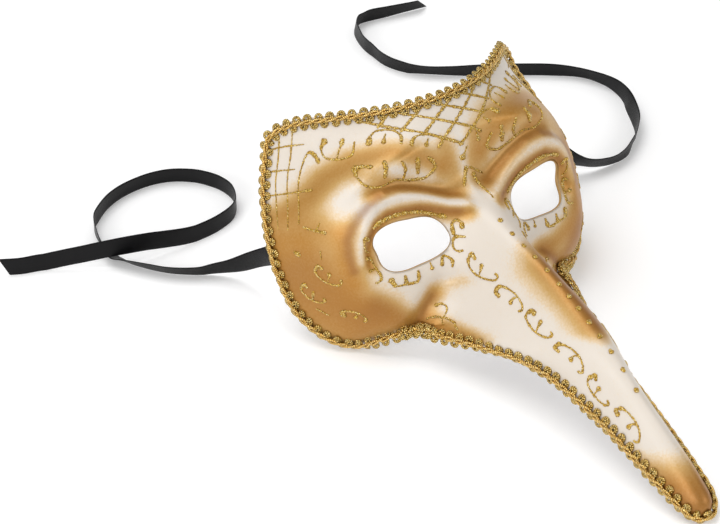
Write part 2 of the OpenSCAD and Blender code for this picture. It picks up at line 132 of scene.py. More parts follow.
def point_uv(piece, name, coords):
    """A texture map with one coordinate pair for each point."""
    layer = piece.data.uv_layers.new(name=name)
    points = np.zeros(len(piece.data.loops), dtype=np.int64)
    piece.data.loops.foreach_get("vertex_index", points)
    layer.data.foreach_set("uv", coords[points].astype(np.float32).ravel())


def tube(rings):
    """Points and faces of one swept tube from an array of rings, with capped ends."""
    n, m = rings.shape[:2]
    k = np.arange(m)
    k1 = (k + 1) % m
    faces = [np.stack([a + k, a + k1, a + m + k1, a + m + k], 1) for a in range(0, (n - 1) * m, m)]
    faces = np.concatenate(faces).tolist()
    faces.append(list(range(m))[::-1])
    faces.append(list(range((n - 1) * m, n * m)))
    return rings.reshape(-1, 3), faces


def join_parts(parts):
    """Joins (points, faces) pairs into one."""
    verts, faces, base = [], [], 0
    for v, f in parts:
        verts.append(v)
        faces.extend([[i + base for i in q] for q in f])
        base += len(v)
    return np.concatenate(verts), faces


# ---- materials ------------------------------------------------------------------------------

class Nodes:
    """Short names for building a node material."""

    def __init__(self, name):
        self.material = bpy.data.materials.new(name)
        self.material.use_nodes = True
        self.tree = self.material.node_tree
        self.shader = self.tree.nodes["Principled BSDF"]

    def add(self, kind, **values):
        node = self.tree.nodes.new(kind)
        for key, value in values.items():
            setattr(node, key, value)
        return node

    def link(self, a, b):
        self.tree.links.new(a, b)

    def attribute(self, name):
        return self.add("ShaderNodeAttribute", attribute_name=name).outputs["Fac"]

    def coords(self):
        return self.add("ShaderNodeTexCoord").outputs["Object"]

    def noise(self, scale, detail, rough):
        node = self.add("ShaderNodeTexNoise")
        node.inputs["Scale"].default_value = scale
        node.inputs["Detail"].default_value = detail
        node.inputs["Roughness"].default_value = rough
        self.link(self.coords(), node.inputs["Vector"])
        return node.outputs["Fac"]

    def voronoi(self, scale):
        """The distance inside a cell, and three random numbers of the cell."""
        node = self.add("ShaderNodeTexVoronoi", feature="F1")
        node.inputs["Scale"].default_value = scale
        self.link(self.coords(), node.inputs["Vector"])
        split = self.add("ShaderNodeSeparateColor")
        self.link(node.outputs["Color"], split.inputs[0])
        return node.outputs["Distance"], split.outputs

    def uv(self, name):
        """The two coordinates of a texture map."""
        parts = self.add("ShaderNodeSeparateXYZ")
        self.link(self.add("ShaderNodeUVMap", uv_map=name).outputs["UV"], parts.inputs[0])
        return parts.outputs["X"], parts.outputs["Y"]

    def math(self, kind, a, b=None, c=None, clamp=False):
        node = self.add("ShaderNodeMath", operation=kind, use_clamp=clamp)
        for socket, value in zip(node.inputs, (a, b, c)):
            if value is None:
                continue
            if isinstance(value, (int, float)):
                socket.default_value = value
            else:
                self.link(value, socket)
        return node.outputs[0]

    def ramp(self, fac, stops):
        node = self.add("ShaderNodeValToRGB")
        ramp = node.color_ramp
        while len(ramp.elements) < len(stops):
            ramp.elements.new(0.5)
        for element, (place, colour) in zip(ramp.elements, stops):
            element.position = place
            element.color = (*colour, 1)
        self.link(fac, node.inputs["Fac"])
        return node.outputs["Color"]

    def mix(self, fac, a, b):
        node = self.add("ShaderNodeMix", data_type="RGBA", blend_type="MIX")
        for socket, value in ((node.inputs[0], fac), (node.inputs[6], a), (node.inputs[7], b)):
            if isinstance(value, tuple):
                socket.default_value = (*value, 1)
            elif isinstance(value, (int, float)):
                socket.default_value = value
            else:
                self.link(value, socket)
        return node.outputs[2]

    def bump(self, height, strength, distance, normal=None):
        node = self.add("ShaderNodeBump")
        node.inputs["Strength"].default_value = strength
        node.inputs["Distance"].default_value = distance
        self.link(height, node.inputs["Height"])
        if normal is not None:
            self.link(normal, node.inputs["Normal"])
        return node.outputs["Normal"]

    def set(self, **values):
        for key, value in values.items():
            socket = self.shader.inputs[key.replace("_", " ")]
            if isinstance(value, tuple):
                socket.default_value = (*value, 1)
            elif isinstance(value, (int, float)):
                socket.default_value = value
            else:
                self.link(value, socket)


def shell_paint():
    """Pearl white lacquer with gold airbrushed over it, browner where the mist lies thick, and dark
    brown painted shade in the folds, creases and undercuts, on the lower cheeks and at the nose
    tip.
    """
    n = Nodes("shell_paint")
    gold, deep = n.attribute("gold"), n.attribute("deep")
    mist = n.noise(900, 2, 0.6)
    cloud = n.noise(60, 3, 0.5)
    spread = n.math("MULTIPLY_ADD", n.math("SUBTRACT", mist, 0.5), 0.35, gold)
    spread = n.math("MULTIPLY_ADD", n.math("SUBTRACT", cloud, 0.5), 0.16, spread, clamp=True)
    ivory = n.mix(n.math("MULTIPLY", cloud, 0.5), (0.68, 0.615, 0.54), (0.62, 0.555, 0.475))
    paint = n.ramp(spread, [(0.0, (0.68, 0.60, 0.50)), (0.2, (0.66, 0.51, 0.33)),
                            (0.55, (0.54, 0.33, 0.11)), (1.0, (0.43, 0.20, 0.03))])
    colour = n.mix(n.math("MULTIPLY", spread, 5, clamp=True), ivory, paint)
    # dark brown mixed in as painted shade, where the folds, creases and undercuts lie in shade
    colour = n.mix(deep, colour, (0.25, 0.09, 0.012))
    n.set(Base_Color=colour, Metallic=n.math("MULTIPLY", spread, 0.5),
          Roughness=n.math("MULTIPLY_ADD", mist, 0.1, 0.4), Coat_Weight=0.12, Coat_Roughness=0.3)
    orange_peel = n.noise(260, 2, 0.5)
    n.set(Normal=n.bump(mist, 0.05, 0.0002, n.bump(orange_peel, 0.05, 0.0008)))
    return n.material


def shell_inside():
    """Bare white moulded plastic, a little dusty with overspray near the openings."""
    n = Nodes("shell_inside")
    fine = n.noise(700, 3, 0.6)
    broad = n.noise(25, 2, 0.5)
    overspray = n.math("MULTIPLY", n.attribute("gold"), n.math("MULTIPLY_ADD", fine, 0.5, 0.1))
    base = n.mix(broad, (0.80, 0.79, 0.80), (0.72, 0.71, 0.73))
    n.set(Base_Color=n.mix(overspray, base, (0.60, 0.42, 0.22)),
          Roughness=n.math("MULTIPLY_ADD", fine, 0.2, 0.42))
    n.set(Normal=n.bump(fine, 0.12, 0.0004))
    return n.material


def gimp_yarn(name, light, dark):
    """Metallic foil wound round a core, seen as fine diagonal ridges, with painted shade in the
    grooves between turns and a painted highlight on the ridge tops.
    """
    n = Nodes(name)
    turn = n.math("ADD", *n.uv("yarn"))
    ridge = n.math("ABSOLUTE", n.math("SINE", n.math("MULTIPLY", turn, math.pi)))
    _, foil = n.voronoi(3800)
    glint = n.noise(1500, 2, 0.6)
    # painted shade in the grooves between the turns, the yarn's colour on their sides, and a pale
    # gold painted highlight on the ridge tops and brightest flakes
    shade = n.math("MULTIPLY_ADD", foil[0], 0.5, n.math("MULTIPLY", ridge, 0.5))
    colour = n.ramp(shade, [(0.18, dark), (0.5, light), (0.82, (1.0, 0.84, 0.40))])
    worn = n.math("MULTIPLY", n.math("SUBTRACT", glint, 0.35, clamp=True), 1.6)
    n.set(Base_Color=n.mix(worn, colour, dark), Metallic=1.0,
          Roughness=n.math("MULTIPLY_ADD", foil[1], 0.22, 0.14))
    n.set(Normal=n.bump(ridge, 0.8, 0.0003, n.bump(foil[2], 0.4, 0.0002)))
    return n.material


def glitter_glue():
    """Clear glue packed with gold flakes: each flake has its own tilt, and a brightness from dark
    brown to near white gold that is partly its own tone and partly painted glint.
    """
    n = Nodes("glitter_glue")
    distance, flake = n.voronoi(2600)
    # flake colours: partly the flakes' own tone, partly painted glint up to near white gold
    colour = n.ramp(flake[0], [(0.0, (0.16, 0.085, 0.006)), (0.35, (0.50, 0.28, 0.025)),
                               (0.8, (0.70, 0.45, 0.06)), (1.0, (1.0, 0.88, 0.45))])
    tilt = n.math("ADD", flake[1], n.math("MULTIPLY", distance, 0.6))
    n.set(Base_Color=colour, Metallic=0.75,
          Roughness=n.math("MULTIPLY_ADD", flake[2], 0.3, 0.22), Coat_Weight=0.5)
    n.set(Normal=n.bump(tilt, 0.9, 0.0004))
    return n.material


RIBBON_W, RIBBON_T = 10.0, 0.5
FLOAT_PITCH, ROW_PITCH, SELVEDGE = 0.35, 0.45, 0.55


def satin():
    """Black satin ribbon: long floats across the width, and a tight selvedge on both edges."""
    n = Nodes("satin")
    along, across = n.uv("ribbon")
    floats = n.math("SINE", n.math("MULTIPLY", along, 2 * math.pi / FLOAT_PITCH))
    rows = n.math("SINE", n.math("MULTIPLY", across, 2 * math.pi / ROW_PITCH))
    off_middle = n.math("ABSOLUTE", n.math("SUBTRACT", across, RIBBON_W / 2))
    edge = n.math("GREATER_THAN", off_middle, RIBBON_W / 2 - SELVEDGE)
    weave = n.math("MULTIPLY_ADD", rows, 0.35, n.math("MULTIPLY", floats, 0.5))
    cloud = n.noise(180, 3, 0.6)
    n.set(Base_Color=n.mix(cloud, (0.0025, 0.0025, 0.003), (0.006, 0.0055, 0.006)),
          Roughness=n.math("MULTIPLY_ADD", edge, 0.25, n.math("MULTIPLY_ADD", cloud, 0.12, 0.30)),
          Anisotropic=0.4, Specular_IOR_Level=0.16)
    n.set(Normal=n.bump(weave, 0.25, 0.0001))
    return n.material


def cloth_tape():
    """White woven tape, seen as fine matt checks."""
    n = Nodes("cloth_tape")
    checks = n.add("ShaderNodeTexWave", wave_type="BANDS")
    checks.inputs["Scale"].default_value = 900
    checks.inputs["Distortion"].default_value = 1.5
    n.link(n.coords(), checks.inputs["Vector"])
    fibre = n.noise(1200, 3, 0.6)
    n.set(Base_Color=n.mix(fibre, (0.80, 0.78, 0.75), (0.66, 0.64, 0.61)), Roughness=0.8)
    n.set(Normal=n.bump(n.math("ADD", checks.outputs["Fac"], fibre), 0.35, 0.0002))
    return n.material


PAINT = shell_paint()
INSIDE = shell_inside()
# The second colour of each yarn is the painted shade between its turns, also used for its worn
# spots.
YARN = gimp_yarn("gimp_yarn", (0.64, 0.36, 0.03), (0.05, 0.02, 0.001))
CORE = gimp_yarn("gimp_core", (0.90, 0.52, 0.09), (0.22, 0.08, 0.006))
GLITTER = glitter_glue()
SATIN = satin()
TAPE = cloth_tape()

# ---- ribbons --------------------------------------------------------------------------------

# Route of each ribbon's middle line, as in the CAD: x, y, z and the lean of its width, degrees.
LEFT_ROUTE = [
    [-79, 83, 39, 0], [-80, 91, 41, 0], [-81, 100, 39, 0], [-82, 109, 33, 2], [-81, 119, 25, 6],
    [-83, 128, 18, 9], [-88, 138, 10, 14], [-96, 146, 6, 22], [-106, 152, 4, 30],
    [-115, 159, 4, 33], [-122, 167, 4, 34], [-129, 177, 4, 42], [-132, 184, 3, 60],
    [-133, 191, 3, 45], [-133, 200, 4, 15], [-131, 209, 5, 2], [-128, 216, 5, 0],
    [-123, 221, 5, 0], [-115, 227, 5, -3], [-106, 231, 5, -6], [-96, 233, 5, -9],
    [-85, 233, 5, -10], [-74, 230, 5, -10], [-64, 223, 5, -8], [-58, 215, 5, -4],
    [-55, 208, 5, -2], [-54, 200, 5, 0], [-56, 192, 5, 0], [-60, 186, 5, 0], [-66, 182, 5, -2],
    [-76, 179, 5, -4], [-86, 178, 5, -5], [-95, 178, 6, -6], [-106, 179, 8, -8],
    [-116, 180, 10, -9], [-127, 182, 11, -10], [-138, 185, 11, -8], [-148, 190, 9, -6],
    [-157, 195, 7, -5], [-167, 200, 5, -6], [-177, 203, 5, -5], [-185, 207, 5, -4]
]
RIGHT_ROUTE = [
    [79, 83, 39, 0], [80, 91, 41, 0], [81, 100, 41, 0], [86, 109, 36, 0], [95, 114, 27, -8],
    [104, 116, 17, -18], [112, 115, 11, -26], [120, 112, 8, -32], [128, 111, 6, -30],
    [135, 111, 5, -26], [142, 112, 5, -16], [149, 115, 5, -6], [157, 121, 5, -12],
    [162, 125, 5, -8], [167, 131, 5, -14], [171, 138, 5, -20], [176, 149, 5, -22],
    [179, 157, 5, -10], [180, 166, 5, 2], [178, 177, 5, 18], [172, 189, 4, 24], [160, 200, 5, 15],
    [144, 211, 5, 15], [131, 219, 5, 17], [119, 226, 5, 20], [110, 232, 4, 26], [102, 238, 4, 30],
    [96, 243, 4, 28], [91, 248, 5, 20], [87, 256, 5, 16], [85, 264, 5, 11], [85, 273, 5, 6],
    [85, 282, 5, 3], [87, 291, 5, -4], [90, 299, 5, -8], [94, 304, 5, -12], [99, 306, 5, -18],
    [105, 306, 5, -14], [115, 304, 5, -18], [126, 302, 5, -24], [138, 300, 5, -28]
]
FLOOR_GAP = 0.15
SLANT_LENGTH = 14


def ribbon(name, route, node, slant):
    """A ribbon on its edge along a route, whose free end is cut on the slant, in millimetres."""
    c = curve_points(route, 8)
    p = c[:, :3].copy()
    lean = np.radians(c[:, 3])
    d = direction(p)
    side = unit(np.cross(np.array([0, 0, 1.0]), d))
    upward = np.cross(d, side)
    w = upward * np.cos(lean)[:, None] + side * np.sin(lean)[:, None]
    h = side * np.cos(lean)[:, None] - upward * np.sin(lean)[:, None]
    reach = np.abs(w[:, 2]) * RIBBON_W / 2 + np.abs(h[:, 2]) * RIBBON_T / 2 + FLOOR_GAP
    p[:, 2] = np.maximum(p[:, 2], reach)
    across = np.linspace(-1, 1, 13)
    length = run_length(p)
    shear = smooth(length[-1] - SLANT_LENGTH, length[-1], length) * slant
    rings = []
    for sign, order in ((1, across), (-1, across[::-1])):
        for a in order:
            bow = h * (sign * RIBBON_T / 2 * (1.0 if abs(a) < 0.97 else 0.45))
            rings.append(p + w * (a * RIBBON_W / 2) + bow + d * (shear * a)[:, None])
    piece = new_mesh(name, *tube(np.stack(rings, 1)), SATIN, "ribbon", node)
    over = np.concatenate([across, across[::-1]]) * RIBBON_W / 2 + RIBBON_W / 2
    point_uv(piece, "ribbon", np.stack([np.repeat(length, len(over)),
                                        np.tile(over, len(length))], 1))


ribbon("satin_ribbon_left", LEFT_ROUTE, "ribbon_left", 2.5)
ribbon("satin_ribbon_right", RIGHT_ROUTE, "ribbon_right", -4.0)

# ---- the surface of the shell ---------------------------------------------------------------

# Stations from the top edge (t = 0) to the tip of the nose (t = 1), as in the CAD: t, centre
# line [v, w], edge [x, v, w], height w of the face without its nose, fullness of the side,
# half width of the nose ridge, and how far the top corner is cut round.
STATIONS = np.array([
    [0.000, 110.0, 49.0, 72.5, 118.0, -1.0, 49.0, 2.0, 20, 10],
    [0.060, 100.0, 52.0, 75.5, 108.0, -5.0, 50.0, 2.4, 20, 2],
    [0.120, 87.0, 54.0, 80.5, 95.0, -7.0, 50.0, 3.2, 18, 0],
    [0.190, 69.0, 47.5, 86.0, 73.0, -8.0, 46.0, 5.5, 16, 0],
    [0.250, 54.0, 56.0, 87.0, 54.5, -10.0, 43.0, 6.5, 16, 0],
    [0.320, 36.0, 71.0, 84.5, 31.5, -9.0, 40.0, 6.0, 16, 0],
    [0.400, 20.0, 87.0, 73.0, 11.5, 0.0, 38.0, 4.5, 17, 0],
    [0.460, 7.0, 98.0, 58.5, 6.5, 8.0, 42.0, 3.0, 19, 0],
    [0.520, -3.0, 105.5, 45.5, 8.0, 22.0, 56.0, 2.2, 21, 0],
    [0.580, -14.0, 113.0, 39.5, -1.0, 38.5, 78.0, 2.0, 20, 0],
    [0.650, -27.0, 121.5, 28.5, -10.0, 57.5, 103.0, 1.9, 17, 0],
    [0.730, -45.0, 130.5, 19.0, -24.0, 79.5, 124.0, 1.8, 13, 0],
    [0.830, -70.0, 143.5, 13.2, -58.0, 114.0, 142.5, 1.9, 10, 0],
    [0.915, -92.0, 154.0, 10.5, -88.0, 137.5, 154.0, 2.1, 8, 0],
    [0.965, -103.0, 156.5, 8.3, -101.5, 147.5, 156.5, 2.2, 7, 0],
    [1.000, -109.0, 152.0, 5.0, -107.5, 150.0, 152.0, 2.2, 6, 0]])
# Raised or sunk strokes: points [x, v, fade], half width, height.
CREASES = [
    ([(7, 63, 3), (14, 66, 0), (22, 69, 0), (30, 73, 0), (38, 76.5, 1), (47, 79, 4), (56, 80, 9)],
     6, -2.5),
    ([(9, 56, 2), (15, 58.5, 0), (21, 63, 0), (28, 67.5, 0), (38, 71.5, 0), (46, 72.5, 0),
      (53, 70.5, 0), (57.5, 66, 0), (60.5, 60, 0), (62.5, 53, 0), (63.5, 45, 2), (62, 35, 6)],
     4.4, 4.6),
    ([(17, 20, 5), (22, 22, 1), (27, 23, 0), (32, 21, 0), (37, 17.5, 0), (42, 12, 0), (47, 6, 0)],
     5, -3.2)]
# Raised or sunk ovals: centre [x, v], half sizes, turn in degrees, height.
BUMPS = [((44, 87), (26, 8.5), -10, 8), ((40, 62), (22, 9), 0, 3),
         ((58, 48), (9, 12), 0, -5), ((66, 22), (14, 14), 0, 3)]
LEAN = math.radians(38.2)
NOTCH_T, FADE_T = 0.5, 0.06          # where face and nose braids meet, and the relief fades
BRAID_W, BRAID_T, BRAID_IN = 8.0, 2.6, 1.5
WALL, LIP = 1.6, 0.45

KNOT = STATIONS[:, 0]
GAPS = np.diff(KNOT)
RATES = np.diff(STATIONS, axis=0) / GAPS[:, None]
SLOPES = np.zeros_like(STATIONS)
SLOPES[1:-1] = ((RATES[:-1] * GAPS[1:, None] + RATES[1:] * GAPS[:-1, None])
                / (GAPS[:-1] + GAPS[1:])[:, None])
SLOPES[0] = 1.5 * RATES[0] - 0.5 * SLOPES[1]
SLOPES[-1] = 1.5 * RATES[-1] - 0.5 * SLOPES[-2]


def station(t):
    """The numbers of a station at any t, on smooth curves through the stations."""
    i = np.clip(np.searchsorted(KNOT, t, side="right") - 1, 0, len(KNOT) - 2)
    h = GAPS[i]
    s = ((t - KNOT[i]) / h)[..., None]
    h = h[..., None]
    return (STATIONS[i] * (2 * s**3 - 3 * s * s + 1) + SLOPES[i] * h * (s**3 - 2 * s * s + s)
            + STATIONS[i + 1] * (3 * s * s - 2 * s**3) + SLOPES[i + 1] * h * (s**3 - s * s))


def line_distance(x, v, line):
    """Distance from a stroke. A point's fade counts as distance added near it."""
    best = np.full(np.shape(x), 1e9)
    for a, b in zip(line[:-1], line[1:]):
        a, b = np.array(a + (0,) * (3 - len(a)), float), np.array(b + (0,) * (3 - len(b)), float)
        d = b - a
        k = np.clip(((x - a[0]) * d[0] + (v - a[1]) * d[1] - a[2] * d[2]) / (d @ d), 0, 1)
        best = np.minimum(best, np.sqrt((x - a[0] - k * d[0])**2 + (v - a[1] - k * d[1])**2
                                        + (a[2] + k * d[2])**2))
    return best


def relief(x, v):
    total = np.zeros(np.shape(x))
    for line, width, height in CREASES:
        total += height * np.exp(-(line_distance(x, v, line) / width)**2)
    for (cx, cv), (sx, sv), turn, height in BUMPS:
        a = math.radians(turn)
        q0 = (x - cx) * math.cos(a) + (v - cv) * math.sin(a)
        q1 = (v - cv) * math.cos(a) - (x - cx) * math.sin(a)
        total += height * np.exp(-(q0 / sx)**2 - (q1 / sv)**2)
    return total


def face_point(t, s):
    """The wearer's x, v (up the face) and w (out of the face) at loft coordinates t and s."""
    t, s = np.broadcast_arrays(np.asarray(t, float), np.asarray(s, float))
    k = station(t)
    u = np.abs(s)
    x = k[..., 3] * u
    v = k[..., 1] + (k[..., 4] + k[..., 9] - k[..., 1]) * u * u - k[..., 9] * u**12
    dome = k[..., 5] + (k[..., 6] - k[..., 5]) * (1 - u**k[..., 7])
    ridge = (k[..., 2] - k[..., 6]) * np.exp(-(x / k[..., 8])**2) * (1 - u**4)
    on = smooth(0, 1, (NOTCH_T + FADE_T - t) / (2 * FADE_T))
    w = dome + ridge + relief(x, v) * (1 - u**8) * on
    return np.stack([np.where(s < 0, -x, x), v, w], -1)


def lean_back(p):
    """From the wearer's x, v, w to the row frame, before the mask is set down."""
    x, v, w = p[..., 0], p[..., 1], p[..., 2]
    return np.stack([x, v * math.sin(LEAN) - w * math.cos(LEAN),
                     v * math.cos(LEAN) + w * math.sin(LEAN)], -1)


shift = np.zeros(3)


def skin(t, s):
    """The outer skin at places [t, s]."""
    return lean_back(face_point(t, s)) + shift


def along_t(t, s, e=0.004):
    a, b = np.maximum(0, t - e), np.minimum(1, t + e)
    return (skin(b, s) - skin(a, s)) / (b - a)[..., None]


def along_s(t, s, e=0.004):
    a, b = np.maximum(-1, s - e), np.minimum(1, s + e)
    return (skin(t, b) - skin(t, a)) / (b - a)[..., None]


def normal(t, s, e=0.004):
    t, s = np.broadcast_arrays(np.asarray(t, float), np.asarray(s, float))
    return unit(np.cross(along_t(t, s, e), along_s(t, s, e)))


def frames(p, n):
    """Sideways and outward directions along a line, from rough outward directions."""
    d = direction(p)
    side = unit(np.cross(n, d))
    return side, unit(np.cross(d, side))


def edge_places(from_t, to_t, down, across):
    """Places [t, s] down one edge from the notch, across, and back up the other edge."""
    steps = np.arange(down) / down
    edge = [from_t + (to_t - from_t) * k for k in steps]
    return np.array([(t, -1) for t in edge] + [(to_t, k) for k in np.linspace(-1, 1, across)]
                    + [(t, 1) for t in edge[::-1]])


def cad_rings(places, inward):
    """The points of a CAD braid."""
    p = skin(*places.T)
    side, out = frames(p, normal(*places.T))
    a = np.radians(np.arange(0, 360, 45))
    return (p[:, None] + side[:, None] * (inward * BRAID_IN + BRAID_W / 2 * np.cos(a)[:, None])
            + out[:, None] * (BRAID_T / 2 * (np.sin(a) + 0.9))[:, None]).reshape(-1, 3)


# The mask is set down as in the CAD: centred in y over its braids, their lowest point at z = 0.
braid_points = np.concatenate([cad_rings(edge_places(NOTCH_T, 0, 34, 29), -1),
                               cad_rings(edge_places(NOTCH_T, 1, 25, 5), 1)])
shift = np.array([0, -(braid_points[:, 1].min() + braid_points[:, 1].max()) / 2,
                  -braid_points[:, 2].min()])

# ---- shell ----------------------------------------------------------------------------------

# The eye hole's middle and half sizes in t and s, and its radius at every 45 degrees.
EYE_C = (0.2725, 0.43)
EYE_H = (0.047, 0.215)
EYE_R = np.array([0.93, 1.17, 0.89, 0.91, 0.95, 1.10, 0.97, 1.08])
FINE = 6
# Rows of the grid above, along and below the eye hole, and columns inside, along and outside it.
ROWS = [12 * FINE, 7 * FINE, 32 * FINE]
COLS = [5 * FINE, 8 * FINE, 10 * FINE]
NROW, NCOL = sum(ROWS), sum(COLS)


def eye_radius(angle):
    """Radius of the eye hole at an angle, on a smooth curve through EYE_R."""
    k = np.floor(angle / 45).astype(int)
    f = angle / 45 - k
    p = [EYE_R[(k + j + 8) % 8] for j in (-1, 0, 1, 2)]
    return p[1] + 0.5 * f * (p[2] - p[0] + f * (2 * p[0] - 5 * p[1] + 4 * p[2] - p[3]
                                                + f * (3 * (p[1] - p[2]) + p[3] - p[0])))


def part_of(i, n, a, b, bend=1.0):
    """Share of the way at grid line i: a after the first part, b after the second, 1 at the end."""
    i = np.asarray(i, float)
    return np.where(i <= n[0], a * i / n[0], np.where(
        i <= n[0] + n[1], a + (b - a) * (i - n[0]) / n[1],
        b + (1 - b) * (1 - np.clip(1 - (i - n[0] - n[1]) / n[2], 0, 1)**bend)))


def shell_grid():
    """Places [t, s] of a grid whose rings of cells near an eye take the shape of its hole."""
    i, j = np.meshgrid(np.arange(NROW + 1), np.arange(-NCOL, NCOL + 1), indexing="ij")
    u = part_of(np.abs(j), COLS, EYE_C[1] - EYE_H[1], EYE_C[1] + EYE_H[1], 1.4)
    t = part_of(i, ROWS, EYE_C[0] - EYE_H[0], EYE_C[0] + EYE_H[0])
    q0, q1 = (u - EYE_C[1]) / EYE_H[1], (EYE_C[0] - t) / EYE_H[0]
    square = np.maximum(np.maximum(abs(q0), abs(q1)), 1e-6)
    angle = (np.degrees(np.arctan2(q1, q0)) + 360) % 360
    fade = np.clip(1 - np.clip(square - 1, 0, None) / 1.6, 0, 1)**2
    near_edge = smooth(0, 0.15, u) * smooth(0, 0.12, 1 - u) * smooth(0, 0.1, t)
    fade *= np.where(square <= 1.0001, 1, near_edge)
    grow = 1 + (eye_radius(angle) / (np.maximum(np.hypot(q0, q1), 1e-9) / square) - 1) * fade
    grow = np.where(square < 0.01, 1, grow)
    return EYE_C[0] - q1 * grow * EYE_H[0], np.sign(j) * (EYE_C[1] + q0 * grow * EYE_H[1])


# Airbrush strokes of gold, pale strokes kept clear of it, and darker brown strokes of painted
# shade: points [x, v], radius, strength.
GOLD = [
    ([(81, 66), (81, 56), (79, 45), (74, 33), (67, 24), (59, 17)], 9.5, 0.97),
    ([(88, 68), (88, 52), (84, 38), (76, 25), (68, 16)], 10, 0.9),
    ([(66, 68), (68.5, 60), (69.5, 50), (68, 38)], 5, 0.9),
    ([(80, 80), (72, 84), (62, 91), (50, 94.5), (36, 92), (22, 85), (12, 77)], 6, 0.85),
    ([(76, 74), (70, 68)], 8, 0.6),
    ([(56, 86), (48, 84), (44, 80)], 5, 0.45),
    ([(51, 77), (44.5, 76.5), (37, 75.3), (27.5, 71.5), (17, 66.5), (9, 62.5)], 4.6, 0.97),
    ([(10, 52), (14, 53.5), (20, 57), (30.5, 61.5), (40, 63.2), (47, 63.8), (53, 61), (57, 56),
      (58.7, 50), (59, 44)], 3.9, 0.97),
    ([(64, 24), (57, 17.5), (52, 13.5), (47, 11)], 5.5, 0.9),
    ([(32, 20), (36, 17), (39, 14), (42, 9), (44, 5)], 4, 0.85),
    ([(21, 21.5), (28, 22)], 3, 0.25),
    ([(9, 86), (7, 76), (5, 66)], 5, 0.6)]
# Strokes kept clear of gold: the lid ridge crests, where the pale lacquer shows and is brightened
# as a painted highlight, and painted highlights on the brow bulge.
PALE_AND_HIGHLIGHT = [
    ([(10, 57.8), (15.7, 59.8), (24.7, 65.3), (34, 69.3), (41, 70.9), (49, 70)], 2.4, 0.92),
    ([(53, 68.8), (57.5, 65.3), (60.2, 61.5), (62.4, 55.7), (63.8, 47)], 1.9, 0.6),
    ([(57, 82), (62, 77), (65, 72)], 5, 0.8), ([(38, 84), (28, 80), (18, 74)], 3.5, 0.5)]
# Brown strokes of painted shade: the fold under the brow bulge, the undercut above the eye, the
# outer side of the lid ridge, the lower cheek and the nostril crease.
PAINTED_SHADE = [
    ([(48, 76), (37, 74.8), (27.5, 71), (17, 66), (10, 62)], 2.8, 0.35),
    ([(13, 54), (20, 57.5), (30.5, 62), (40, 64), (47, 64.6), (53.5, 62), (57.5, 56.5)], 2.4, 0.65),
    ([(49, 73.5), (54, 72), (59, 69), (63.5, 64.5), (66.3, 59.5), (67.2, 53), (67, 44)], 2.1, 0.65),
    ([(82, 52), (79, 42), (72, 30), (64, 20)], 9, 0.35),
    ([(62, 24), (57, 19), (52, 15)], 5, 0.35),
    ([(34, 19), (38, 15.5), (42, 9.5), (44, 6)], 2.6, 0.6)]
# Extra gold on one half only: painted shade for the half that faces away from the lamps.
FAR_HALF_SHADE = [([(62, 32), (53, 25), (44, 21), (36, 19)], 6, 0.85),
            ([(68, 72), (69, 58), (67, 44), (66, 34)], 7, 0.8),
            ([(8, 84), (20, 90), (34, 89), (50, 84), (62, 78)], 9, 0.75)]
NOSTRIL = [([(39, 9), (37.5, 6.5), (35.5, 2), (34, -1.5), (32.5, -6)], 4.9, 0.95)]


def sprayed(strokes, x, v):
    """How thickly strokes of airbrush cover each place, 0 to 1."""
    bare = np.ones(np.shape(x))
    for line, radius, strength in strokes:
        bare *= 1 - strength * np.exp(-(line_distance(x, v, line) / radius)**2.2)
    return 1 - bare


def paint_masks(t, s):
    """Cover of gold, and painted shade of brown over it, at places [t, s]."""
    p = face_point(t, s)
    x, v = np.abs(p[..., 0]), p[..., 1]
    on_face = smooth(0.56, 0.47, t)
    # one half is painted darker as shade, for the half turned away from the lamps: more gold over
    # it, and its ridges less clear of the gold
    far = smooth(-5, 25, p[..., 0])
    # pale ridge crests and brow bulge, partly painted highlight, cut out of the gold
    clear = 1 - sprayed(PALE_AND_HIGHLIGHT, x, v) * (1 - 0.6 * far)
    gold = (1 - (1 - sprayed(GOLD, x, v)) * (1 - sprayed(FAR_HALF_SHADE, x, v) * far)) * on_face * clear
    deep = sprayed(PAINTED_SHADE, x, v) * on_face * clear
    nostril = sprayed(NOSTRIL, x, v)
    length = smooth(0.31, 0.42, t) * smooth(0.65, 0.58, t)
    ridge = 0.97 * np.exp(-(np.abs(p[..., 0] - 2.5) / (5 + 4.5 * length))**3) * length
    tip = 0.95 * smooth(0.84, 0.92, t)
    gold = 1 - (1 - gold) * (1 - nostril) * (1 - ridge) * (1 - tip)
    # painted shade along the far side of the nose ridge, and at the nose tip
    deep = 1 - (1 - deep) * (1 - 0.6 * np.exp(-(np.abs(p[..., 0] - 5) / 6.5)**3) * length)
    deep = 1 - (1 - deep) * (1 - 0.55 * smooth(0.86, 0.95, t))
    return gold, deep


